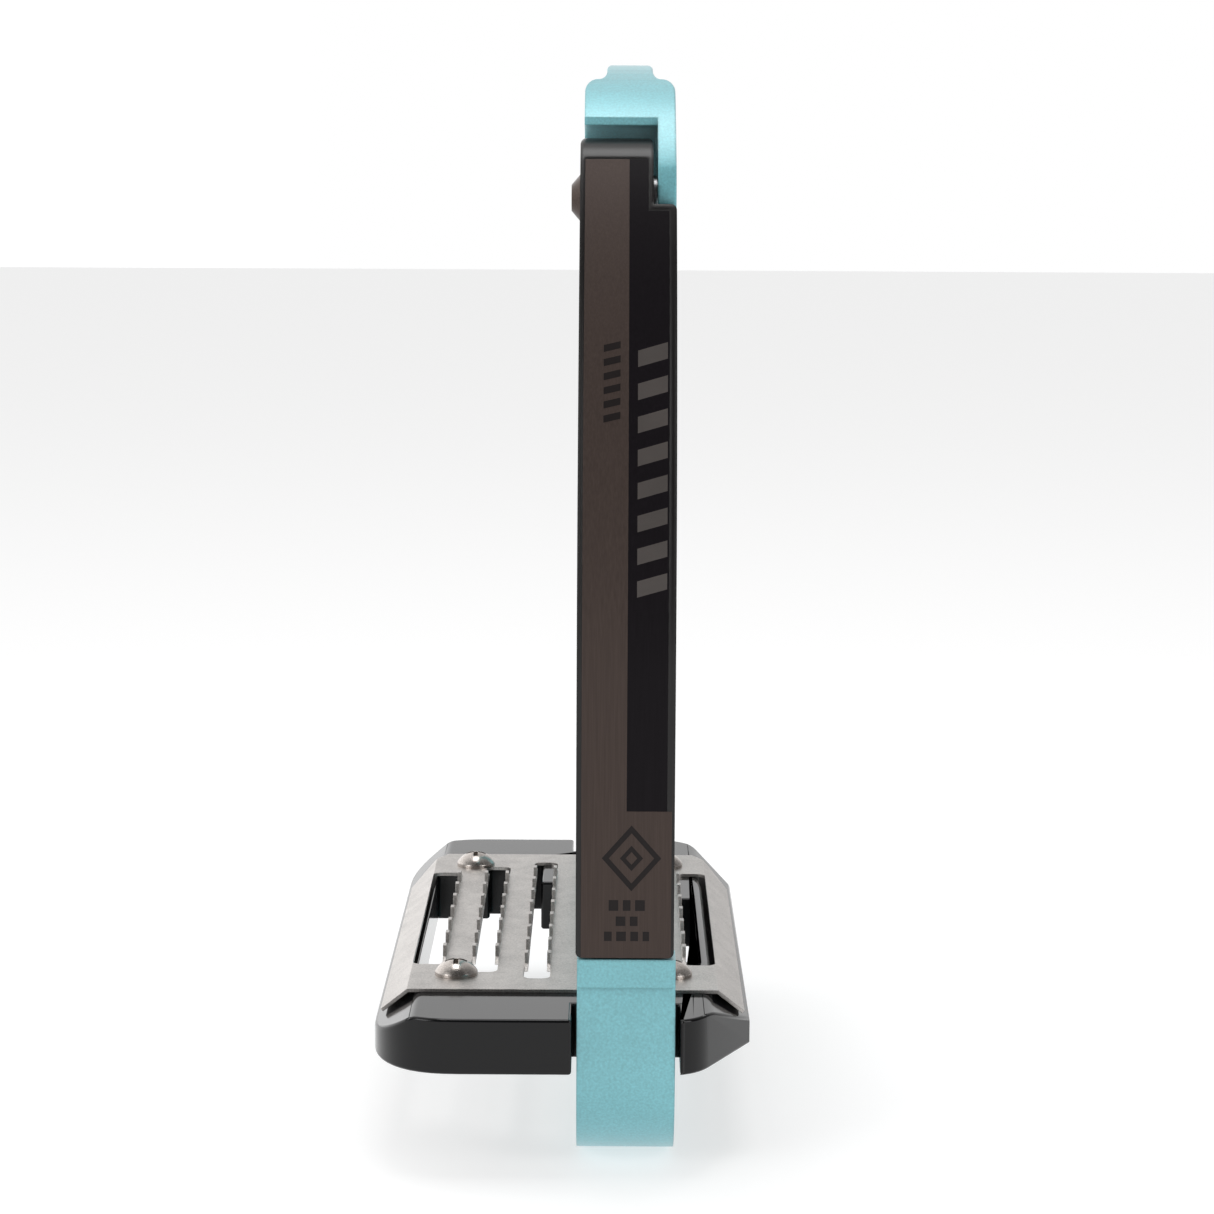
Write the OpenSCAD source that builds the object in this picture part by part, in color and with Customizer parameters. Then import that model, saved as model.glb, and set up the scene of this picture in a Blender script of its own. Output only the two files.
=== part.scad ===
// Safety stirrup iron with a hinged release arm and a two-piece tread.
// The loop lies in the XZ plane, +X is the outer (release) side, +Z is up.
// The origin is the centre of the base's underside.

/* [Loop] */
// Width between the branches at the tread
inner_w = 120; // [116:1:124]
// Thickness of a branch in the plane of the loop
branch_t = 6.5; // [6:0.25:7]
// Half depth of the frame at the base
base_half = 7.75; // [7.5:0.05:8]
// Half depth of the frame at the crown
crown_half = 7.3; // [7.2:0.05:7.5]
// Height of the strap bar's top
iron_h = 173.4; // [172:0.1:174]
// Height at which the branches begin to lean in
bell_z = 80; // [78:1:82]
// Radius of the leaning part of the branches
bell_r = 120; // [118:1:122]
// Outer radius of the lower corners
corner_r = 20; // [18:1:21]
// Thickness of the base bar
base_t = 12; // [12:0.5:13]

/* [Strap slot] */
// Length of the slot, for the stirrup leather's width
slot_l = 28.5; // [26:0.5:29]
// Height of the slot
slot_h = 6; // [5:0.5:6]

/* [Release arm] */
// Height of the arm's pivot
pivot_z = 152; // [151.5:0.1:152.5]
// Radius of the arm's knuckle round the pivot
knuckle_r = 9.5; // [9.3:0.1:9.7]
// Height of the shelf that the arm closes on
shelf_z = 35.5; // [34:0.5:37]
// Width of the arm
arm_w = 15.25; // [15:0.05:15.3]
// Width of the arm beside the pivot ear
knuckle_w = 11.6; // [11:0.1:11.8]
// Thickness of the plates let into the arm's outer face
inlay_t = 0.6; // [0.5:0.1:0.8]
// Height at which the cover plate widens to the whole arm
cover_foot_z = 59; // [55:1:65]

/* [Tread] */
// Length of the tread housing, along the loop
tread_l = 132.8; // [130:0.2:134]
// Width of the tread housing
tread_w = 60.3; // [59:0.1:61]
// How far the tread's centre line lies to -Y of the loop
tread_offset = 10.1; // [9:0.1:11]
// Length of the grip plate
plate_l = 100; // [98:1:102]
// Width of the plate's flat
plate_flat = 50; // [49:0.5:51]
// Height of the grip teeth above the plate
tooth_h = 2.1; // [1.4:0.1:2.4]

/* [Fasteners] */
// Radius of the plate screws' heads
pan_r = 3.5; // [3.2:0.1:3.6]
// Radius of the pivot bolt's shank
pivot_bolt_r = 2.5; // [2.4:0.05:2.5]

/* [Hidden] */
$fn = 96;
eps = 0.01;
far = 200;

turquoise = [0.40, 0.66, 0.70];
gunmetal = [0.30, 0.26, 0.24];
black = [0.08, 0.08, 0.09];
stainless = [0.74, 0.73, 0.71];
steel = [0.60, 0.60, 0.62];
bronze = [0.62, 0.46, 0.26];
brass = [0.75, 0.62, 0.30];
rubber = [0.12, 0.12, 0.12];

// Loop outline
out_x = inner_w / 2 + branch_t;
bell_x = bell_r - out_x;
// The foot of the release side stands back from the lip under the arm
lip_step = 0.9;
lip_h = 4.5;
inner_corner_r = 12;

// The knuckle touches the bell's outer arc from inside
pivot_x = -bell_x + sqrt(pow(bell_r - knuckle_r, 2) - pow(pivot_z - bell_z, 2));
bell_a = atan2(pivot_z - bell_z, pivot_x + bell_x);
// One arc from the flat top to the bell
crown_r = (iron_h - bell_z - bell_r * sin(bell_a)) / (1 - sin(bell_a));
crown_x = -bell_x + (bell_r - crown_r) * cos(bell_a);
crown_z = iron_h - crown_r;
tangent_z = bell_z + bell_r * sin(bell_a);

// Inner arch under the crown
arch_r = 10;
arch_top = 154.4;
arch_x = -bell_x + sqrt(pow(bell_r - branch_t - arch_r, 2) - pow(arch_top - arch_r - bell_z, 2));

slot_top = iron_h - 6.7;
slot_r = 2;

// Profile of the crown across the loop: a rib stands on rounded shoulders
rib_half = 3.75;
rib_h = 2.4;
rib_r = 0.9;
rib_root_r = 1.3;
base_edge_r = 1.6;
shoulder_r = 2.1;
shoulder_z = iron_h - rib_h;

// Pivot ear and the room round the knuckle
arm_left = -7.9;
arm_right = arm_left + arm_w;
arm_corner_r = 0.9;
bush_r = 3.5;
spring_r = 4.9;
spring_turns = 4.5;
spring_pocket_r = 6;
spring_pocket_l = 5;
knuckle_right = arm_left + knuckle_w;
ear_in = 4.4;
knuckle_gap = 2.1;
cheek_gap = 0.7;
cheek_top = pivot_z - 0.6;

// Stub that takes the arm's lower end
stub_in = 57;
stop_t = 2.2;
stop_h = 8;
stop_w = 11;
pad_t = 1;
arm_foot_gap = 0.3;
arm_foot_z = shelf_z + arm_foot_gap;

// Ball catch
catch_x = 63.2;
ball_r = 1.25;
ball_rise = 0.8;
ball_z = shelf_z + ball_rise - ball_r;
sleeve_r = 2;
sleeve_l = 10;
sleeve_bore_r = 1.3;
catch_spring_bottom = shelf_z - sleeve_l + 1.5;

strike_r = 2.5;
strike_l = 2.5;

// Cover and inlay
cover_left = -7.1;
cover_seam = -0.1;
inlay_right = 6.15;
cover_right = 6.9;
cover_top = 158.3;

// Tread
tread_y = -tread_offset;
sheet_t = 0.6;
plate_top = 26.4;
plate_z = plate_top - sheet_t;
housing_bottom = 16.9;
// The housing's top is flat up to shelf_half from the centre line and slopes to flank_z at its sides
shelf_half = 23.4;
flank_z = 21.25;
crease_r = 3;
wing_out = 4.2;
wing_drop = 3.3;
// Notches for the branches; the inner branch has more room
notch_x = 56.2;
notch_half = 8.5;
inner_notch_half = 9.6;
// Insert holes for the plate's screws
insert_r = 2.4;
insert_floor = 17.8;
screw_x = plate_l / 2 - 9.5;
screw_y = 17.5;
tread_bolt_x = 25;

// Grip plate slots: distance of the slot's sides from the centre line, and margin to the plate's end
slots = [[2.2, 6.5, 7], [10.9, 15.3, 11], [19.6, plate_flat / 2, 16]];
tooth_rows = [2.2, 6.5, 10.9, 15.3, 19.6];
tooth_margins = [10, 10, 14, 14, 18];
tooth_pitch = 9.1;

// Extrude a shape drawn in X and Z along Y, from y0 to y1
module along_y(y0, y1) {
    translate([0, y1, 0]) rotate([90, 0, 0]) linear_extrude(y1 - y0) children();
}

// Extrude a shape drawn in Y and Z along X, from x0 to x1
module along_x(x0, x1) {
    translate([x0, 0, 0]) rotate([90, 0, 90]) linear_extrude(x1 - x0) children();
}

// Cylinder along Y
module rod_y(r, y0, y1, x, z) {
    translate([x, y1, z]) rotate([90, 0, 0]) cylinder(r = r, h = y1 - y0);
}

// Points of an elliptical corner
function corner(cx, cy, rx, ry, a0, a1, n = 9) =
    [for (i = [0:n]) let (a = a0 + (a1 - a0) * i / n) [cx + rx * cos(a), cy + ry * sin(a)]];

// Points of a ring round a wire's centre
function ring(r, n) = [for (k = [0:n - 1]) [r * cos(360 * k / n), r * sin(360 * k / n)]];

// Coil spring along +Z with its foot at z = 0
module coil(mean_r, wire_r, turns, height, sides = 8, steps = 20) {
    count = turns * steps;
    section = ring(wire_r, sides);
    points = [
        for (i = [0:count])
            let (a = 360 * i / steps, z = wire_r + (height - 2 * wire_r) * i / count)
                for (p = section) [(mean_r + p[0]) * cos(a), (mean_r + p[0]) * sin(a), z + p[1]]
    ];
    walls = [
        for (i = [0:count - 1]) for (k = [0:sides - 1])
            let (n = (k + 1) % sides, low = i * sides, high = low + sides)
                [low + k, low + n, high + n, high + k]
    ];
    start = [[for (k = [sides - 1:-1:0]) k]];
    end = [[for (k = [0:sides - 1]) count * sides + k]];
    polyhedron(points = points, faces = concat(start, walls, end), convexity = 10);
}

// ---- Loop ----

// Everything inside the bell's arcs above bell_z, moved in by inset
module bell_2d(inset) {
    intersection() {
        translate([-bell_x, bell_z]) circle(bell_r - inset);
        translate([bell_x, bell_z]) circle(bell_r - inset);
        translate([-far / 2, bell_z - eps]) square([far, far]);
    }
}

module loop_outer_2d() {
    right_x = out_x - lip_step;
    // Branches and the leaning part up to the shoulders
    intersection() {
        bell_2d(0);
        translate([-far / 2, 0]) square([far, tangent_z]);
    }
    translate([-out_x, corner_r]) square([2 * out_x, bell_z - corner_r + eps]);
    // Base with round corners; the release side stands back by the lip's step
    translate([-out_x + corner_r, 0]) square([out_x + right_x - 2 * corner_r, corner_r + eps]);
    translate([-out_x + corner_r, corner_r]) circle(corner_r);
    translate([right_x - corner_r, corner_r]) circle(corner_r);
    // Crown
    for (s = [-1, 1]) intersection() {
        translate([s * crown_x, crown_z]) circle(crown_r);
        translate([-far / 2, tangent_z - 20]) square([far, 60]);
        bell_2d(0);
    }
    translate([-crown_x, tangent_z - 10]) square([2 * crown_x, iron_h - tangent_z + 10]);
}

module loop_inner_2d() {
    half = inner_w / 2;
    arch_low = arch_top - arch_r;
    intersection() {
        bell_2d(branch_t);
        translate([-far / 2, 0]) square([far, arch_low]);
    }
    intersection() {
        bell_2d(branch_t);
        union() {
            translate([-arch_x, arch_low - 1]) square([2 * arch_x, arch_r + 1]);
            for (s = [-1, 1]) translate([s * arch_x, arch_low]) circle(arch_r);
        }
    }
    // Wedge between the arch's corner circle and the bell
    for (s = [-1, 1]) intersection() {
        bell_2d(branch_t);
        polygon([
            [s * arch_x, arch_low - 1], [s * 60, arch_low - 1], [s * 60, arch_low],
            [s * (arch_x + arch_r * cos(bell_a - 2)), arch_low + arch_r * sin(bell_a - 2)],
            [s * arch_x, arch_low + 1]
        ]);
    }
    translate([-half, base_t + inner_corner_r]) square([2 * half, bell_z - base_t - inner_corner_r + eps]);
    translate([-half + inner_corner_r, base_t])
        square([2 * (half - inner_corner_r), inner_corner_r + eps]);
    for (s = [-1, 1]) translate([s * (half - inner_corner_r), base_t + inner_corner_r])
        circle(inner_corner_r);
}

// Depth profile of the frame, drawn in Y and Z
module depth_2d() {
    for (s = [-1, 1]) translate([s * (base_half - base_edge_r), base_edge_r]) circle(base_edge_r);
    translate([-base_half + base_edge_r, 0]) square([2 * (base_half - base_edge_r), 2 * base_edge_r]);
    polygon([
        [-base_half, base_edge_r], [base_half, base_edge_r],
        [crown_half, shoulder_z - shoulder_r], [crown_half - shoulder_r, shoulder_z - shoulder_r],
        [crown_half - shoulder_r, shoulder_z], [-crown_half + shoulder_r, shoulder_z],
        [-crown_half + shoulder_r, shoulder_z - shoulder_r], [-crown_half, shoulder_z - shoulder_r]
    ]);
    for (s = [-1, 1]) {
        translate([s * (crown_half - shoulder_r), shoulder_z - shoulder_r]) circle(shoulder_r);
        translate([s * (rib_half - rib_r), iron_h - rib_r]) circle(rib_r);
        // Hollow fillet at the rib's root
        difference() {
            translate([s * (rib_half + rib_root_r / 2), shoulder_z + rib_root_r / 2 - eps])
                square([rib_root_r + eps, rib_root_r], center = true);
            translate([s * (rib_half + rib_root_r), shoulder_z + rib_root_r]) circle(rib_root_r);
        }
    }
    translate([-rib_half, shoulder_z - 1]) square([2 * rib_half, rib_h + 1 - rib_r]);
    translate([-rib_half + rib_r, shoulder_z]) square([2 * (rib_half - rib_r), rib_h]);
}

module strap_slot() {
    along_y(-far / 2, far / 2) translate([0, slot_top - slot_h / 2]) {
        square([slot_l - 2 * slot_r, slot_h], center = true);
        square([slot_l, slot_h - 2 * slot_r], center = true);
        for (x = [-1, 1]) for (z = [-1, 1])
            translate([x * (slot_l / 2 - slot_r), z * (slot_h / 2 - slot_r)]) circle(slot_r);
    }
}

// Room for the arm between the shelf and the ear, and round the knuckle
module arm_bay() {
    difference() {
        union() {
            translate([20, -far / 2, shelf_z]) cube([60, far, pivot_z - shelf_z]);
            translate([pivot_x, -far / 2, pivot_z - eps]) cube([50, far, tangent_z - pivot_z]);
        }
        rod_y(knuckle_r, ear_in, 20, pivot_x, pivot_z);
    }
    rod_y(knuckle_r + knuckle_gap, -20, ear_in, pivot_x, pivot_z);
    translate([pivot_x, -20, tangent_z - 20]) cube([50, 20 + ear_in, 40]);
}

// Thicker stub under the shelf, with the closing stop on its inner side
module stub() {
    stub_root_z = 16;
    along_y(-base_half + 0.4, base_half - 0.4) translate([stub_in, stub_root_z])
        square([out_x - 3 - stub_in, shelf_z - stub_root_z]);
    translate([stub_in, -stop_w / 2, shelf_z - 1]) cube([stop_t, stop_w, stop_h + 1 - 2]);
    translate([stub_in, -stop_w / 2 + 2, shelf_z]) cube([stop_t, stop_w - 4, stop_h]);
    for (s = [-1, 1]) translate([stub_in, s * (stop_w / 2 - 2), shelf_z + stop_h - 2])
        rotate([0, 90, 0]) cylinder(r = 2, h = stop_t);
}

module frame() {
    color(turquoise) difference() {
        union() {
            difference() {
                intersection() {
                    along_y(-12, 12) difference() {
                        loop_outer_2d();
                        loop_inner_2d();
                    }
                    along_x(-80, 80) depth_2d();
                }
                arm_bay();
                // Face of the lower stub, set back under the lip
                translate([out_x - lip_step, -20, -1]) cube([10, 40, shelf_z - lip_h + 1]);
            }
            stub();
        }
        strap_slot();
        // Thread for the pivot bolt and hole for the spring's leg
        rod_y(pivot_bolt_r + 0.02, 0, 20, pivot_x, pivot_z);
        rod_y(0.6, ear_in - 1, ear_in + 1.8, pivot_x, pivot_z - spring_r);
        // Thread for the ball catch
        translate([catch_x, 0, shelf_z - sleeve_l]) cylinder(r = sleeve_r, h = far);
        // Stepped holes for the tread bolts
        for (s = [-1, 1]) translate([s * tread_bolt_x, 0, -1]) {
            cylinder(r = 4.9, h = 5);
            cylinder(r = 2.7, h = 20);
        }
    }
}

// ---- Release arm ----

// Strip of the arm between two depths below its outer face, from z0 to z1
module strip_2d(d0, d1, z0, z1) {
    intersection() {
        difference() {
            translate([-bell_x, bell_z]) circle(bell_r - d0);
            translate([-bell_x, bell_z]) circle(bell_r - d1);
        }
        translate([pivot_x - 4, bell_z]) square([far, z1 - bell_z]);
    }
    translate([out_x - d1, z0]) square([d1 - d0, bell_z - z0 + eps]);
}

module arm_2d() {
    intersection() {
        strip_2d(0, branch_t - 0.2, arm_foot_z, tangent_z);
        translate([pivot_x, 0]) square([far, far]);
    }
    translate([pivot_x, pivot_z]) circle(knuckle_r);
}

// Outline of the arm seen from outside, its corners rounded with radius r
module arm_outline_2d(r) {
    top = pivot_z + knuckle_r;
    overlap = 25;
    translate([arm_left + r, arm_foot_z]) square([arm_w - 2 * r, cheek_top - arm_foot_z]);
    translate([arm_left, arm_foot_z + r]) square([arm_w, cheek_top - arm_foot_z - 2 * r]);
    for (y = [arm_left + r, arm_right - r]) translate([y, arm_foot_z + r]) circle(r);
    translate([arm_right - r, cheek_top - r]) circle(r);
    translate([arm_left, cheek_top - overlap]) square([knuckle_w, top - cheek_top + overlap - r]);
    translate([arm_left + r, cheek_top]) square([knuckle_w - 2 * r, top - cheek_top]);
    for (y = [arm_left + r, knuckle_right - r]) translate([y, top - r]) circle(r);
}

module cover_2d() {
    polygon([
        [cover_left, 0], [cover_right, 0], [cover_right, cover_foot_z],
        [cover_seam, cover_foot_z], [cover_seam, cover_top], [cover_left, cover_top]
    ]);
}

module inlay_2d() {
    step_y = knuckle_right - 0.8;
    polygon([
        [cover_seam, cover_foot_z], [inlay_right, cover_foot_z], [inlay_right, cheek_top - 1],
        [step_y, cheek_top - 1], [step_y, cover_top], [cover_seam, cover_top]
    ]);
}

// Skin of the arm's outer face, inlay_t thick, within a shape drawn in Y and Z
module arm_skin(y0, y1, z0) {
    intersection() {
        along_y(y0, y1) strip_2d(0, inlay_t, z0, cover_top);
        along_x(0, 80) children();
    }
}

module release_arm() {
    color(black) difference() {
        intersection() {
            along_y(arm_left, arm_right) arm_2d();
            along_x(0, 80) arm_outline_2d(arm_corner_r);
        }
        // Step beside the ear and room for the ear's disc
        translate([0, knuckle_right, cheek_top]) cube([80, 20, 40]);
        rod_y(knuckle_r + cheek_gap, knuckle_right, 20, pivot_x, pivot_z);
        // Bed of the cover and the inlay
        arm_skin(arm_left, arm_right, 0) union() {
            cover_2d();
            inlay_2d();
        }
        // Bore for the bush, pocket for the return spring, hole for its leg
        rod_y(bush_r, -20, 20, pivot_x, pivot_z);
        rod_y(spring_pocket_r, knuckle_right - spring_pocket_l, 20, pivot_x, pivot_z);
        rod_y(0.6, knuckle_right - spring_pocket_l - 2, knuckle_right - spring_pocket_l + 1,
            pivot_x, pivot_z + spring_r);
        // Seat of the strike
        translate([catch_x, 0, 0]) cylinder(r = strike_r, h = arm_foot_z + strike_l);
    }
}

module arm_cover() {
    color(gunmetal) intersection() {
        arm_skin(arm_left, arm_right, arm_foot_z) cover_2d();
        along_x(0, 80) arm_outline_2d(arm_corner_r);
    }
}

module arm_inlay() {
    color(black) arm_skin(arm_left, arm_right, arm_foot_z) inlay_2d();
}

module catch_strike() {
    color(steel) difference() {
        translate([catch_x, 0, arm_foot_z]) cylinder(r = strike_r, h = strike_l);
        translate([catch_x, 0, arm_foot_z - 0.85]) sphere(r = 1.75);
    }
}

// ---- Pivot ----

module pivot_bolt() {
    head_h = 1.4;
    // Drive socket in a low coned head
    color(steel) difference() {
        union() {
            translate([pivot_x, arm_left - 0.05, pivot_z]) rotate([90, 0, 0])
                cylinder(r1 = 3.75, r2 = 2.1, h = head_h);
            rod_y(pivot_bolt_r, arm_left - 0.06, 7.2, pivot_x, pivot_z);
        }
        translate([pivot_x, arm_left - 0.4, pivot_z]) rotate([90, 0, 0])
            cylinder(r = 1.45, h = 5, $fn = 6);
    }
}

module pivot_bush() {
    color(bronze) difference() {
        rod_y(bush_r, arm_left, knuckle_right, pivot_x, pivot_z);
        rod_y(pivot_bolt_r + 0.05, -20, 20, pivot_x, pivot_z);
    }
}

module pivot_washer() {
    color(steel) difference() {
        rod_y(3.6, knuckle_right + 0.1, ear_in, pivot_x, pivot_z);
        rod_y(pivot_bolt_r + 0.02, -20, 20, pivot_x, pivot_z);
    }
}

module return_spring() {
    wire = 0.35;
    leg = 0.45;
    coil_l = 4.4;
    color(steel) {
        translate([pivot_x, knuckle_right - 0.2, pivot_z]) rotate([90, 90, 0])
            coil(spring_r, wire, spring_turns, coil_l);
        rod_y(leg, knuckle_right - 0.9, ear_in + 1.7, pivot_x, pivot_z - spring_r);
        rod_y(leg, knuckle_right - 6.6, knuckle_right - 4.0, pivot_x, pivot_z + spring_r);
    }
}

// ---- Catch ----

module catch_body() {
    color(brass) difference() {
        translate([catch_x, 0, shelf_z - sleeve_l]) cylinder(r = sleeve_r, h = sleeve_l - 0.05);
        translate([catch_x, 0, catch_spring_bottom]) cylinder(r = sleeve_bore_r, h = ball_z - catch_spring_bottom);
        translate([catch_x, 0, ball_z]) sphere(r = ball_r + 0.04);
    }
}

module catch_ball() {
    color(steel) translate([catch_x, 0, ball_z]) sphere(r = ball_r);
}

module catch_spring() {
    color(steel) translate([catch_x, 0, catch_spring_bottom])
        coil(0.85, 0.2, 6, ball_z - ball_r * 0.72 - catch_spring_bottom, 6, 14);
}

module closing_pad() {
    color(rubber) translate([stub_in + stop_t, 0, shelf_z + 0.8]) {
        translate([0, -4, 0]) cube([pad_t, 8, 5.4]);
    }
}

// ---- Tread ----

// Points of a rounded corner that is fuller than an ellipse
function full_corner(cx, cy, rx, ry, a0, a1, n = 12) = [
    for (i = [0:n]) let (a = a0 + (a1 - a0) * i / n, c = cos(a), d = sin(a))
        [cx + sign(c) * rx * pow(abs(c), 2 / 2.4), cy + sign(d) * ry * pow(abs(d), 2 / 2.4)]
];

// Outer half of the housing's plan: a full corner on the -Y side, a long slanting one on the +Y side
module tread_plan_2d() {
    end = tread_l / 2;
    half = tread_w / 2;
    slant_x = 47.5;
    arc_x = 8.9;
    arc_y = 7.2;
    full_x = 18.4;
    full_y = 14.15;
    for (s = [0, 1]) translate([0, tread_y]) mirror([s, 0]) polygon(concat(
        [[-1, half], [slant_x, half]],
        corner(end - arc_x, 17, arc_x, arc_y, 60, 0),
        full_corner(end - full_x, -half + full_y, full_x, full_y, 0, -90),
        [[-1, -half]]
    ));
}

// End view of the housing: its top rolls over into slopes under the plate's wings
module tread_end_2d() {
    half = tread_w / 2;
    steps = 6;
    slope = atan2(plate_z - flank_z, half - shelf_half);
    start = shelf_half - crease_r * tan(slope / 2);
    turn = [
        for (i = [0:steps]) let (a = slope * i / steps)
            [start + crease_r * sin(a), plate_z - crease_r * (1 - cos(a))]
    ];
    translate([tread_y, 0]) polygon(concat(
        [[-half, housing_bottom], [half, housing_bottom], [half, flank_z]],
        [for (i = [steps:-1:0]) turn[i]],
        [for (i = [0:steps]) [-turn[i][0], turn[i][1]]],
        [[-half, flank_z]]
    ));
}

// Windows under the plate's slots: their two sides from the centre line, and how far they reach
// towards the inner branch and towards the arm
tread_window_boxes = [
    [-24.3, -14.7, 37, 37], [-14.8, -8.7, 41, 41], [-8.8, -5.1, 45, 45], [-5.2, 1.6, 29.2, 45],
    [18.6, 22.3, 16.6, 29]
];

module tread_windows() {
    for (w = tread_window_boxes)
        translate([-w[2], tread_y + w[0], 0]) cube([w[2] + w[3], w[1] - w[0], far]);
}

module tread_housing() {
    foot_half = 38;
    color(black) difference() {
        union() {
            intersection() {
                translate([0, 0, housing_bottom]) linear_extrude(plate_z - housing_bottom) tread_plan_2d();
                along_x(-80, 80) tread_end_2d();
            }
            // Foot of the spine, down to the base bar
            translate([-foot_half, -base_half + 0.3, base_t])
                cube([2 * foot_half, 2 * base_half - 0.6, housing_bottom - base_t + 1]);
        }
        tread_windows();
        // Notches for the branches
        translate([notch_x, -notch_half, 0]) cube([20, 2 * notch_half, 40]);
        translate([-notch_x - 20, -inner_notch_half, 0]) cube([20, inner_notch_half + notch_half, 40]);
        // Holes for the plate screws' inserts
        for (s = [-1, 1]) for (v = [-1, 1])
            translate([s * screw_x, tread_y + v * screw_y, insert_floor]) cylinder(r = insert_r, h = 20);
        // Holes for the tread bolts, with pockets for their nuts
        for (s = [-1, 1]) translate([s * tread_bolt_x, 0, base_t - 1]) {
            cylinder(r = 2.7, h = 9);
            translate([0, 0, 5 + 1.35]) cube([8.1, 8.1, 2.7], center = true);
        }
    }
}

module plate_slot(inner, outer, margin) {
    end = plate_l / 2 - margin;
    w = outer - inner;
    translate([-end + 1.5, inner, 0]) cube([2 * end - 3, w, 20]);
    translate([-end, inner + 1.5, 0]) cube([2 * end, w - 3, 20]);
    for (x = [-1, 1]) for (y = [inner + 1.5, outer - 1.5])
        translate([x * (end - 1.5), y, 0]) cylinder(r = 1.5, h = 20);
}

// Row of saw teeth in a sheet that stands on the plate, from -end to end
module tooth_row(end) {
    count = floor(2 * end / tooth_pitch);
    start = -count * tooth_pitch / 2;
    low = 0.3;
    points = [
        for (i = [0:count - 1]) let (x = start + i * tooth_pitch)
            each [[x, low], [x + 0.24 * tooth_pitch, low], [x + 0.56 * tooth_pitch, tooth_h],
                [x + 0.76 * tooth_pitch, tooth_h], [x + 0.79 * tooth_pitch, low]]
    ];
    polygon(concat([[start, -sheet_t]], points, [[start + count * tooth_pitch, -sheet_t]]));
}

module plate_profile_2d() {
    half = plate_flat / 2;
    a = atan2(wing_drop, wing_out);
    tx = sheet_t * tan(a / 2);
    polygon([
        [-half, plate_top], [half, plate_top], [half + wing_out, plate_top - wing_drop],
        [half + wing_out - sheet_t * sin(a), plate_top - wing_drop - sheet_t * cos(a)],
        [half - tx, plate_z], [-half + tx, plate_z],
        [-half - wing_out + sheet_t * sin(a), plate_top - wing_drop - sheet_t * cos(a)],
        [-half - wing_out, plate_top - wing_drop]
    ]);
}

module plate_plan_2d() {
    half = plate_l / 2;
    flat = plate_flat / 2;
    wing = flat + wing_out + 1;
    long_cut = 17;
    short_cut = 6;
    nip = 2;
    polygon([
        [half, wing], [half, -wing], [-half + long_cut, -wing], [-half + short_cut, -flat - 1],
        [-half, -flat + nip], [-half, flat - nip], [-half + short_cut, flat + 1], [-half + long_cut, wing]
    ]);
}

module grip_plate() {
    color(stainless) translate([0, tread_y, 0]) {
        difference() {
            intersection() {
                along_x(-plate_l / 2, plate_l / 2) plate_profile_2d();
                linear_extrude(60) plate_plan_2d();
            }
            for (s = slots) {
                translate([0, 0, 15]) plate_slot(s[0], s[1], s[2]);
                translate([0, 0, 15]) plate_slot(-s[1], -s[0], s[2]);
            }
            for (x = [-1, 1]) for (y = [-1, 1])
                translate([x * screw_x, y * screw_y, 20]) cylinder(r = 1.9, h = 20);
        }
        // Teeth bent up from the slots' edges
        for (i = [0:len(tooth_rows) - 1]) for (s = [-1, 1]) {
            y = s * tooth_rows[i] + ((s * (i % 2 == 0 ? -1 : 1)) > 0 ? -sheet_t : 0);
            along_y(y, y + sheet_t) translate([0, plate_top]) tooth_row(plate_l / 2 - tooth_margins[i]);
        }
    }
}

module at_plate_screws(z) {
    for (x = [-1, 1]) for (y = [-1, 1])
        translate([x * screw_x, tread_y + y * screw_y, z]) children();
}

module pan_screw() {
    dome_h = 2.6;
    dome_r = (pow(pan_r, 2) + pow(dome_h - 0.6, 2)) / (2 * (dome_h - 0.6));
    difference() {
        union() {
            cylinder(r = pan_r, h = 0.6);
            intersection() {
                translate([0, 0, dome_h - dome_r]) sphere(r = dome_r);
                translate([0, 0, 0.6 - eps]) cylinder(r = pan_r, h = 5);
            }
            translate([0, 0, -7]) cylinder(r = 1.75, h = 7 + eps);
        }
        for (a = [0, 90]) rotate(a) translate([0, 0, dome_h]) cube([3.6, 0.8, 2.6], center = true);
    }
}

module plate_screws() {
    color(stainless) at_plate_screws(plate_top) pan_screw();
}

module screw_inserts() {
    color(brass) at_plate_screws(insert_floor) difference() {
        cylinder(r = insert_r, h = 7.8);
        translate([0, 0, 1]) cylinder(r = 1.77, h = 10);
    }
}

module tread_bolts() {
    color(steel) for (s = [-1, 1]) translate([s * tread_bolt_x, 0, 0]) difference() {
        union() {
            translate([0, 0, 0.4]) cylinder(r = 4.25, h = 2.8);
            translate([0, 0, 3]) cylinder(r = 2.48, h = 16);
        }
        translate([0, 0, -1]) cylinder(r = 1.75, h = 3.2, $fn = 6);
    }
}

module tread_washers() {
    color(steel) for (s = [-1, 1]) translate([s * tread_bolt_x, 0, 3.2]) difference() {
        cylinder(r = 4.7, h = 0.8);
        translate([0, 0, -1]) cylinder(r = 2.6, h = 4);
    }
}

module tread_nuts() {
    color(steel) for (s = [-1, 1]) translate([s * tread_bolt_x, 0, base_t + 4]) difference() {
        translate([0, 0, 1.35]) cube([8, 8, 2.7], center = true);
        translate([0, 0, -1]) cylinder(r = 2.5, h = 6);
    }
}

frame();
release_arm();
arm_cover();
arm_inlay();
pivot_bolt();
pivot_bush();
pivot_washer();
return_spring();
catch_body();
catch_ball();
catch_spring();
catch_strike();
closing_pad();
tread_housing();
grip_plate();
plate_screws();
screw_inserts();
tread_bolts();
tread_washers();
tread_nuts();
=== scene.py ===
"""Looks of a safety stirrup iron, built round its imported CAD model.

X runs along the loop's width and +X is the outer side, with the release arm. Z is up.
Lengths are in metres.
"""

import math

import bpy
from mathutils import Matrix, Vector


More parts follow.
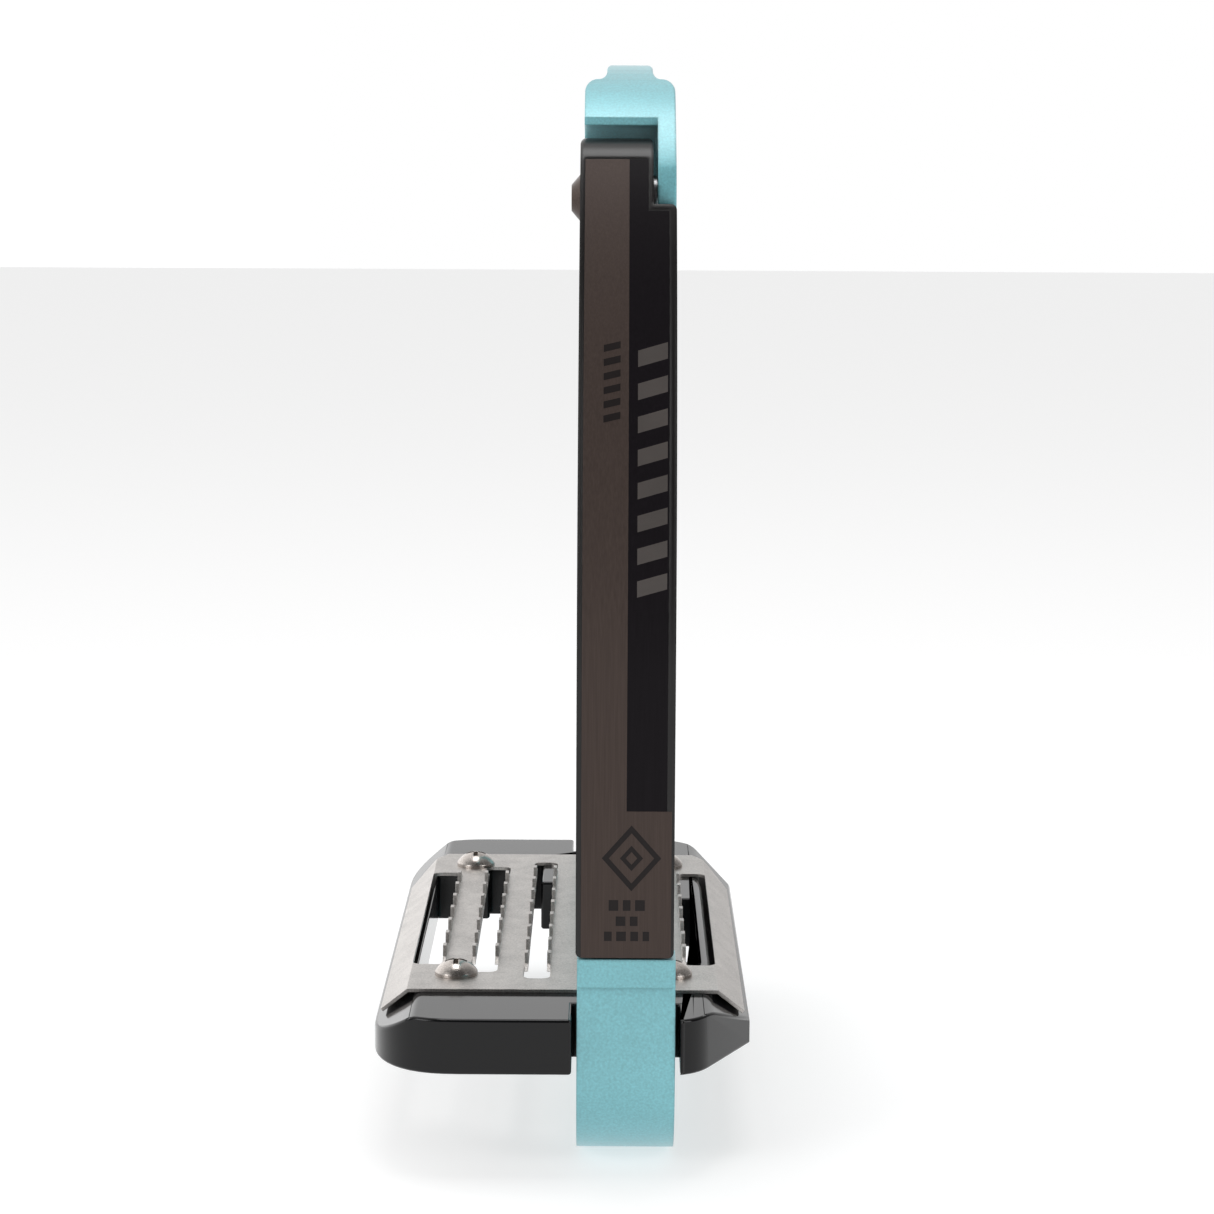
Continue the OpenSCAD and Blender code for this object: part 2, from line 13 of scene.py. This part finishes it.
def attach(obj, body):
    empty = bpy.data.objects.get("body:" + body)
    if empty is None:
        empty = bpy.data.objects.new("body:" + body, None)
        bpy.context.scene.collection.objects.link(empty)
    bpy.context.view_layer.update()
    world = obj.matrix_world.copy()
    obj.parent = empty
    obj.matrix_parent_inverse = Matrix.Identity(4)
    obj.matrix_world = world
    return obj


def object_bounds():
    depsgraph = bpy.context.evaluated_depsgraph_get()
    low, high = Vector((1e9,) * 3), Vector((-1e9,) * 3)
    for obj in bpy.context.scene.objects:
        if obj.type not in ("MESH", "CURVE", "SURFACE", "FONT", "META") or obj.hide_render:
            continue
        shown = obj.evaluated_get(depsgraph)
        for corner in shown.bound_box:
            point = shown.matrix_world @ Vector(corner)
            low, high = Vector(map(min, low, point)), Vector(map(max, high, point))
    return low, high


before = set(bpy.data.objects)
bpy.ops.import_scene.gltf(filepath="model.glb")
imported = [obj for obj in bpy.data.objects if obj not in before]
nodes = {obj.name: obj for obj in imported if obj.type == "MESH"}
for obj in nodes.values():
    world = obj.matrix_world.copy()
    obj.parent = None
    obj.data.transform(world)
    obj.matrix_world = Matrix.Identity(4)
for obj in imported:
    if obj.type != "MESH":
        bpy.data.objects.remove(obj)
cad_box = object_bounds()
MM = 0.001


# ---- Camera ----

def make_camera():
    """A long lens in front of the outer branch, a little above the crown's height."""
    image_px = 1214
    focal_px = 3403
    pitch = 8.31
    yaw = 0.06
    roll = 0.3
    data = bpy.data.cameras.new("camera")
    data.sensor_width = 36
    data.lens = data.sensor_width * focal_px / image_px
    data.clip_start = 0.01
    data.clip_end = 20
    camera = bpy.data.objects.new("camera", data)
    turn = Matrix.Rotation(math.radians(90 + yaw), 4, "Z")
    tilt = Matrix.Rotation(math.radians(90 - pitch), 4, "X")
    lean = Matrix.Rotation(math.radians(roll), 4, "Z")
    camera.matrix_world = Matrix.Translation((0.5811, -0.00275, 0.166)) @ turn @ tilt @ lean
    bpy.context.scene.collection.objects.link(camera)
    bpy.context.scene.camera = camera


# ---- Materials ----

def new_material(name, **sockets):
    """A Principled material with constants on its sockets; returns it with its tree and shader."""
    material = bpy.data.materials.new(name)
    material.use_nodes = True
    tree = material.node_tree
    shader = tree.nodes["Principled BSDF"]
    for socket, value in sockets.items():
        shader.inputs[socket.replace("_", " ")].default_value = value
    return material, tree, shader


def coordinates(tree, scale=(1, 1, 1), turn=(0, 0, 0)):
    """Object coordinates, turned and scaled."""
    source = tree.nodes.new("ShaderNodeTexCoord")
    mapping = tree.nodes.new("ShaderNodeMapping")
    mapping.inputs["Scale"].default_value = scale
    mapping.inputs["Rotation"].default_value = [math.radians(a) for a in turn]
    tree.links.new(source.outputs["Object"], mapping.inputs["Vector"])
    return mapping.outputs["Vector"]


def noise(tree, vector, scale, detail=2.0, roughness=0.5):
    """Noise; scale is in cells per metre."""
    node = tree.nodes.new("ShaderNodeTexNoise")
    node.inputs["Scale"].default_value = scale
    node.inputs["Detail"].default_value = detail
    node.inputs["Roughness"].default_value = roughness
    tree.links.new(vector, node.inputs["Vector"])
    return node.outputs["Fac"]


def ramp(tree, value, stops):
    """Colour ramp with (position, colour) stops."""
    node = tree.nodes.new("ShaderNodeValToRGB")
    elements = node.color_ramp.elements
    while len(elements) < len(stops):
        elements.new(0.5)
    for element, (position, colour) in zip(elements, stops):
        element.position = position
        element.color = (*colour, 1)
    tree.links.new(value, node.inputs["Fac"])
    return node.outputs["Color"]


def span(tree, value, low, high):
    """Value from 0 to 1 mapped to low to high."""
    node = tree.nodes.new("ShaderNodeMapRange")
    node.inputs["To Min"].default_value = low
    node.inputs["To Max"].default_value = high
    tree.links.new(value, node.inputs["Value"])
    return node.outputs["Result"]


def bump(tree, shader, height, distance, strength=1.0, edge=0.0):
    """Surface relief; edge is the radius in metres that sharp edges are shaded with."""
    node = tree.nodes.new("ShaderNodeBump")
    node.inputs["Distance"].default_value = distance
    node.inputs["Strength"].default_value = strength
    tree.links.new(height, node.inputs["Height"])
    if edge:
        round_edge = tree.nodes.new("ShaderNodeBevel")
        round_edge.samples = 6
        round_edge.inputs["Radius"].default_value = edge
        tree.links.new(round_edge.outputs["Normal"], node.inputs["Normal"])
    tree.links.new(node.outputs["Normal"], shader.inputs["Normal"])


def math_node(tree, operation, first, second):
    """A math node; an operand is a socket or a number."""
    node = tree.nodes.new("ShaderNodeMath")
    node.operation = operation
    for socket, value in zip(node.inputs, (first, second)):
        if isinstance(value, (int, float)):
            socket.default_value = value
        else:
            tree.links.new(value, socket)
    return node.outputs[0]


def fade(tree, value, start, end, low=0.0, high=1.0):
    """Smooth step of a value from low at start to high at end."""
    node = tree.nodes.new("ShaderNodeMapRange")
    node.interpolation_type = "SMOOTHSTEP"
    for socket, number in {"From Min": start, "From Max": end, "To Min": low, "To Max": high}.items():
        node.inputs[socket].default_value = number
    tree.links.new(value, node.inputs["Value"])
    return node.outputs["Result"]


def axes(tree, output):
    """X, Y and Z of a texture coordinate."""
    source = tree.nodes.new("ShaderNodeTexCoord")
    split = tree.nodes.new("ShaderNodeSeparateXYZ")
    tree.links.new(source.outputs[output], split.inputs["Vector"])
    return split.outputs["X"], split.outputs["Y"], split.outputs["Z"]


def shelter(tree, distance):
    """1 in the open, towards 0 in the piece's own hollows; the distance is in millimetres."""
    node = tree.nodes.new("ShaderNodeAmbientOcclusion")
    node.only_local = True
    node.samples = 8
    node.inputs["Distance"].default_value = distance * MM
    return node.outputs["AO"]


def shaded(colour, factor):
    """A colour made darker or lighter."""
    return tuple(c * factor for c in colour)


def anodised():
    """Satin turquoise anodising on blasted aluminium, with a fine speckle, and painted shade that
    darkens the colour and thins the coat in the frame's own hollows.
    """
    material, tree, shader = new_material("anodised_frame", Metallic=0.4, Coat_Roughness=0.3)
    colour = (0.185, 0.48, 0.53)
    cloud_share = 0.35
    hollow_reach = 14
    darkest_painted_shade = 0.03
    grain_depth = 0.012 * MM
    edge_radius = 0.6 * MM
    vector = coordinates(tree)
    grain = noise(tree, vector, 2600, 3)
    cloud = noise(tree, vector, 60, 2)
    mixed = tree.nodes.new("ShaderNodeMath")
    mixed.operation = "MULTIPLY_ADD"
    mixed.inputs[1].default_value = cloud_share
    tree.links.new(cloud, mixed.inputs[0])
    tree.links.new(grain, mixed.inputs[2])
    stops = [(0.45, shaded(colour, 0.86)), (0.68, colour), (0.9, shaded(colour, 1.15))]
    # Painted shade: ambient occlusion within hollow_reach millimetres darkens the base colour, down to
    # 3 % of it, and thins the coat in the frame's own hollows, such as the recess behind the arm's
    # knuckle
    open_air = fade(tree, shelter(tree, hollow_reach), 0.2, 0.75, darkest_painted_shade, 1.0)
    painted_hollow_shade = tree.nodes.new("ShaderNodeVectorMath")
    painted_hollow_shade.operation = "SCALE"
    tree.links.new(ramp(tree, mixed.outputs[0], stops), painted_hollow_shade.inputs[0])
    tree.links.new(open_air, painted_hollow_shade.inputs["Scale"])
    tree.links.new(open_air, shader.inputs["Coat Weight"])
    tree.links.new(painted_hollow_shade.outputs[0], shader.inputs["Base Color"])
    tree.links.new(span(tree, grain, 0.42, 0.56), shader.inputs["Roughness"])
    bump(tree, shader, grain, grain_depth, 0.5, edge_radius)
    return material


def brushed(name, colour, along, roughness, edge, metallic=1.0, depth=0.004, specular=0.5):
    """Metal brushed along one axis ("X", "Y" or "Z"), with faint diagonal grinding marks."""
    material, tree, shader = new_material(name, Metallic=metallic, Specular_IOR_Level=specular)
    cross_share = 0.5
    cross_angle = 38
    stretch = {"X": (0.02, 1, 1), "Y": (1, 0.02, 1), "Z": (1, 1, 0.02)}[along]
    lines = noise(tree, coordinates(tree, stretch), 5200, 2)
    cross = noise(tree, coordinates(tree, (1, 1, 0.03), (cross_angle, 0, 0)), 2600, 2)
    both = tree.nodes.new("ShaderNodeMath")
    both.operation = "MULTIPLY_ADD"
    both.inputs[1].default_value = cross_share
    tree.links.new(cross, both.inputs[0])
    tree.links.new(lines, both.inputs[2])
    stops = [(0.5, shaded(colour, 0.88)), (0.75, colour), (1.0, shaded(colour, 1.15))]
    tree.links.new(ramp(tree, both.outputs[0], stops), shader.inputs["Base Color"])
    tree.links.new(span(tree, lines, roughness - 0.05, roughness + 0.05), shader.inputs["Roughness"])
    bump(tree, shader, both.outputs[0], depth * MM, 0.5, edge * MM)
    return material


def moulded(name, colour, roughness, grain_scale, depth, edge, **sockets):
    """Plastic or paint with a fine surface texture."""
    material, tree, shader = new_material(name, **sockets)
    vector = coordinates(tree)
    grain = noise(tree, vector, grain_scale, 3)
    patches = noise(tree, vector, 90, 3)
    stops = [(0.3, shaded(colour, 0.9)), (0.7, shaded(colour, 1.1))]
    tree.links.new(ramp(tree, patches, stops), shader.inputs["Base Color"])
    tree.links.new(span(tree, grain, roughness * 0.85, roughness * 1.15), shader.inputs["Roughness"])
    bump(tree, shader, grain, depth * MM, 0.5, edge * MM)
    return material


def gloss(name, colour, roughness, specular):
    """Glossy black plastic that is dull inside its windows and notches."""
    material, tree, shader = new_material(name, Specular_IOR_Level=specular)
    hollow_reach = 8
    dull = 0.6
    grain_depth = 0.002 * MM
    grain = noise(tree, coordinates(tree), 700, 3)
    open_air = fade(tree, shelter(tree, hollow_reach), 0.45, 0.85)
    stops = [(0.3, shaded(colour, 0.9)), (0.7, colour)]
    tree.links.new(ramp(tree, grain, stops), shader.inputs["Base Color"])
    tree.links.new(span(tree, open_air, dull, roughness), shader.inputs["Roughness"])
    bump(tree, shader, grain, grain_depth, 0.5)
    return material


def blasted(name, colour, roughness, edge, depth=0.012):
    """Stainless steel with a fine blasted or tumbled skin."""
    material, tree, shader = new_material(name, Metallic=1.0)
    vector = coordinates(tree)
    grain = noise(tree, vector, 3800, 3, 0.6)
    patches = noise(tree, vector, 240, 3)
    patch_share = 0.4
    speckle = math_node(tree, "ADD", grain, math_node(tree, "MULTIPLY", patches, patch_share))
    stops = [(0.5, shaded(colour, 0.72)), (0.72, colour), (0.92, shaded(colour, 1.2))]
    tree.links.new(ramp(tree, speckle, stops), shader.inputs["Base Color"])
    tree.links.new(span(tree, grain, roughness - 0.06, roughness + 0.06), shader.inputs["Roughness"])
    bump(tree, shader, grain, depth * MM, 0.5, edge * MM)
    return material


MATERIALS = {
    "anodised": anodised(),
    "arm": moulded("arm_black", (0.010, 0.009, 0.009), 0.3, 2400, 0.004, 0.8, Specular_IOR_Level=0.35),
    "cover": brushed("gunmetal_cover", (0.058, 0.041, 0.035), "Z", 0.5, 0.1, 0.35, specular=0.3),
    "inlay": brushed("inlay_black", (0.0085, 0.007, 0.0085), "Z", 0.36, 0.1, 0.0, specular=0.07),
    "housing": gloss("housing_black", (0.004, 0.004, 0.0045), 0.1, 0.3),
    "plate": blasted("plate_stainless", (0.50, 0.475, 0.455), 0.42, 0.15),
    "screw": blasted("screw_stainless", (0.48, 0.44, 0.41), 0.24, 0.2, 0.006),
    "dark_bolt": blasted("bolt_steel", (0.075, 0.057, 0.05), 0.36, 0.15),
    "steel": blasted("plain_steel", (0.55, 0.55, 0.56), 0.32, 0.15),
    "wire": brushed("spring_steel", (0.45, 0.45, 0.46), "Y", 0.3, 0.05),
    "bronze": blasted("bush_bronze", (0.50, 0.31, 0.14), 0.42, 0.1),
    "brass": blasted("sleeve_brass", (0.68, 0.50, 0.20), 0.3, 0.1),
    "light_mark": moulded("mark_light", (0.062, 0.053, 0.049), 0.45, 2400, 0.001, 0),
    "dark_mark": moulded(
        "mark_dark", (0.012, 0.009, 0.009), 0.45, 2400, 0.001, 0, Specular_IOR_Level=0.2
    ),
    "rubber": moulded("pad_rubber", (0.018, 0.018, 0.018), 0.75, 1800, 0.02, 0.3),
}


# ---- CAD nodes ----

FINISH = {
    "frame": "anodised",
    "release_arm": "arm",
    "arm_cover": "cover",
    "arm_inlay": "inlay",
    "pivot_bolt": "dark_bolt",
    "pivot_bush": "bronze",
    "pivot_washer": "steel",
    "return_spring": "wire",
    "catch_body": "brass",
    "catch_ball": "steel",
    "catch_spring": "wire",
    "catch_strike": "steel",
    "closing_pad": "rubber",
    "tread_housing": "housing",
    "grip_plate": "plate",
    "plate_screws": "screw",
    "screw_inserts": "brass",
    "tread_bolts": "dark_bolt",
    "tread_washers": "steel",
    "tread_nuts": "steel",
}


def smoothing_group(angle):
    """Geometry nodes that shade smooth except across edges sharper than the angle in degrees."""
    group = bpy.data.node_groups.new("smooth_by_angle", "GeometryNodeTree")
    group.interface.new_socket("Geometry", in_out="INPUT", socket_type="NodeSocketGeometry")
    group.interface.new_socket("Geometry", in_out="OUTPUT", socket_type="NodeSocketGeometry")
    start = group.nodes.new("NodeGroupInput")
    end = group.nodes.new("NodeGroupOutput")
    faces = group.nodes.new("GeometryNodeSetShadeSmooth")
    faces.domain = "FACE"
    edges = group.nodes.new("GeometryNodeSetShadeSmooth")
    edges.domain = "EDGE"
    edges.inputs["Shade Smooth"].default_value = False
    edge_angle = group.nodes.new("GeometryNodeInputMeshEdgeAngle")
    sharp = group.nodes.new("FunctionNodeCompare")
    sharp.operation = "GREATER_THAN"
    sharp.inputs["B"].default_value = math.radians(angle)
    group.links.new(start.outputs[0], faces.inputs[0])
    group.links.new(faces.outputs[0], edges.inputs[0])
    group.links.new(edge_angle.outputs["Unsigned Angle"], sharp.inputs["A"])
    group.links.new(sharp.outputs[0], edges.inputs["Selection"])
    group.links.new(edges.outputs[0], end.inputs[0])
    return group


SMOOTHING = smoothing_group(24)

WELD_GAP = 0.001 * MM
FLAT_ANGLE = math.radians(0.3)
BEVEL_ANGLE = math.radians(30)

# Widths of the edge rounds cut here, in millimetres; other nodes keep the CAD's edges
ROUNDS = {"tread_housing": 0.5}


def dress(thing, finish, edge):
    """Material, shading, and rounded edges for a CAD node."""
    thing.data.materials.clear()
    thing.data.materials.append(MATERIALS[finish])
    weld = thing.modifiers.new("weld", "WELD")
    weld.merge_threshold = WELD_GAP
    if edge:
        flat = thing.modifiers.new("flat_faces", "DECIMATE")
        flat.decimate_type = "DISSOLVE"
        flat.angle_limit = FLAT_ANGLE
    shade = thing.modifiers.new("smooth", "NODES")
    shade.node_group = SMOOTHING
    if edge:
        bevel = thing.modifiers.new("edges", "BEVEL")
        bevel.width = edge * MM
        bevel.segments = 4
        bevel.limit_method = "ANGLE"
        bevel.angle_limit = BEVEL_ANGLE
        bevel.use_clamp_overlap = False
        bevel.harden_normals = True


for node_name, finish in FINISH.items():
    dress(nodes[node_name], finish, ROUNDS.get(node_name, 0))


# ---- Printed marks on the arm, plain shapes in place of lettering ----

# Height of the print above the arm's face, in millimetres
PRINT = 0.012


def face_x(z):
    """X of the arm's outer face at height z, in millimetres."""
    straight, bell_z, bell_x, bell_r = 66.5, 80.0, -53.5, 120.0
    return straight if z < bell_z else bell_x + math.sqrt(bell_r ** 2 - (z - bell_z) ** 2)


def printed(name, shapes, finish):
    """Four-cornered shapes in Y and Z, in millimetres, laid on the arm's outer face."""
    rows = 4
    points = []
    faces = []
    for low_left, low_right, high_right, high_left in shapes:
        first = len(points)
        for row in range(rows + 1):
            t = row / rows
            for low, high in ((low_left, high_left), (low_right, high_right)):
                y = low[0] + (high[0] - low[0]) * t
                z = low[1] + (high[1] - low[1]) * t
                points.append(((face_x(z) + PRINT) * MM, y * MM, z * MM))
        for row in range(rows):
            start = first + 2 * row
            faces.append((start, start + 1, start + 3, start + 2))
    mesh = bpy.data.meshes.new(name)
    mesh.from_pydata(points, [], faces)
    mesh.materials.append(MATERIALS[finish])
    piece = bpy.data.objects.new(name, mesh)
    bpy.context.scene.collection.objects.link(piece)
    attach(piece, "arm")


def bars(y0, y1, z0, z1, count, fill, slant):
    """A column of equal slanted bars across a strip, filling part of its length."""
    pitch = (z1 - z0 - slant) / (count - 1 + fill)
    shapes = []
    for i in range(count):
        low = z0 + i * pitch
        high = low + fill * pitch
        shapes.append(((y0, low), (y1, low + slant), (y1, high + slant), (y0, high)))
    return shapes


def dashes(z0, z1, lengths, gap):
    """A centred row of dashes along Y."""
    y = -(sum(lengths) + gap * (len(lengths) - 1)) / 2
    shapes = []
    for length in lengths:
        shapes.append(((y, z0), (y + length, z0), (y + length, z1), (y, z1)))
        y += length + gap
    return shapes


def diamond(y, z, half_y, half_z, thick):
    """Outline of a diamond."""
    outer = [(y, z - half_z), (y + half_y, z), (y, z + half_z), (y - half_y, z)]
    k = 1 - thick / half_y
    inner = [(y + (a - y) * k, z + (b - z) * k) for a, b in outer]
    return [(outer[i], outer[(i + 1) % 4], inner[(i + 1) % 4], inner[i]) for i in range(4)]


printed("inlay_marks", bars(1.3, 5.9, 92.2, 130.6, 8, 0.5, 1.3), "light_mark")
printed("cover_marks", bars(-4.0, -1.4, 118.5, 130.7, 6, 0.5, 0.6), "dark_mark")
badge_y, badge_z = 0.7, 51.6
badge = diamond(badge_y, badge_z, 4.6, 5.2, 1.1) + diamond(badge_y, badge_z, 1.8, 2.0, 0.9)
dash_gap = 0.7
rows_of_dashes = (
    dashes(43.3, 45.0, (1.5, 1.2, 1.5), dash_gap)
    + dashes(40.9, 42.4, (1.5, 1.2), dash_gap)
    + dashes(38.5, 40.0, (1.2, 1.5, 1.2, 1.0), dash_gap)
)
printed("badge_marks", badge + rows_of_dashes, "dark_mark")


# ---- Stage and light ----

def make_floor():
    """A plain white table, glowing softly so that it runs into the white behind it."""
    half = 3.0
    gap = 0.02 * MM
    glow = 0.6
    mesh = bpy.data.meshes.new("floor")
    corners = [(-half, -half, 0), (half, -half, 0), (half, half, 0), (-half, half, 0)]
    mesh.from_pydata(corners, [], [(0, 1, 2, 3)])
    floor = bpy.data.objects.new("floor", mesh)
    floor.location.z = cad_box[0][2] - gap
    material, _, shader = new_material("floor_pale", Roughness=1.0, Specular_IOR_Level=0.0)
    shader.inputs["Base Color"].default_value = (0.5, 0.5, 0.5, 1)
    shader.inputs["Emission Color"].default_value = (1, 1, 1, 1)
    shader.inputs["Emission Strength"].default_value = glow
    mesh.materials.append(material)
    bpy.context.scene.collection.objects.link(floor)


def area_light(name, location, target, size, power):
    """A rectangular light turned to a target; metres and watts."""
    data = bpy.data.lights.new(name, "AREA")
    data.shape = "RECTANGLE"
    data.size, data.size_y = size
    data.energy = power
    light = bpy.data.objects.new(name, data)
    light.location = location
    aim = Vector(target) - Vector(location)
    light.rotation_euler = aim.to_track_quat("-Z", "Y").to_euler()
    bpy.context.scene.collection.objects.link(light)


def make_world():
    """White behind and above the iron, brightest to the left, darker to the right and in front."""
    world = bpy.data.worlds.new("studio")
    world.use_nodes = True
    tree = world.node_tree
    x, y, z = axes(tree, "Generated")
    back = fade(tree, x, -0.45, 0.5, 1.0, 0.1)
    left = fade(tree, y, -0.3, -0.08, 1.6, 1.0)
    right = fade(tree, y, 0.3, 0.8, 1.0, 0.3)
    above = fade(tree, z, 0.3, 0.9, 1.0, 0.75)
    sides = math_node(tree, "MULTIPLY", left, right)
    strength = math_node(tree, "MULTIPLY", math_node(tree, "MULTIPLY", back, sides), above)
    tree.links.new(strength, tree.nodes["Background"].inputs["Strength"])
    tree.nodes["Background"].inputs["Color"].default_value = (1, 1, 1, 1)
    bpy.context.scene.world = world


def make_light():
    """One soft light above and one at each side."""
    centre = (0, 0, 0.09)
    area_light("top", (-0.05, 0.0, 0.9), centre, (0.4, 0.4), 2.2)
    area_light("left", (0.5, -0.62, 0.4), centre, (0.4, 0.6), 2.6)
    area_light("right", (0.5, 0.62, 0.4), centre, (0.4, 0.6), 2.4)


make_camera()
make_floor()
make_world()
make_light()
bpy.context.scene.view_settings.view_transform = "Standard"
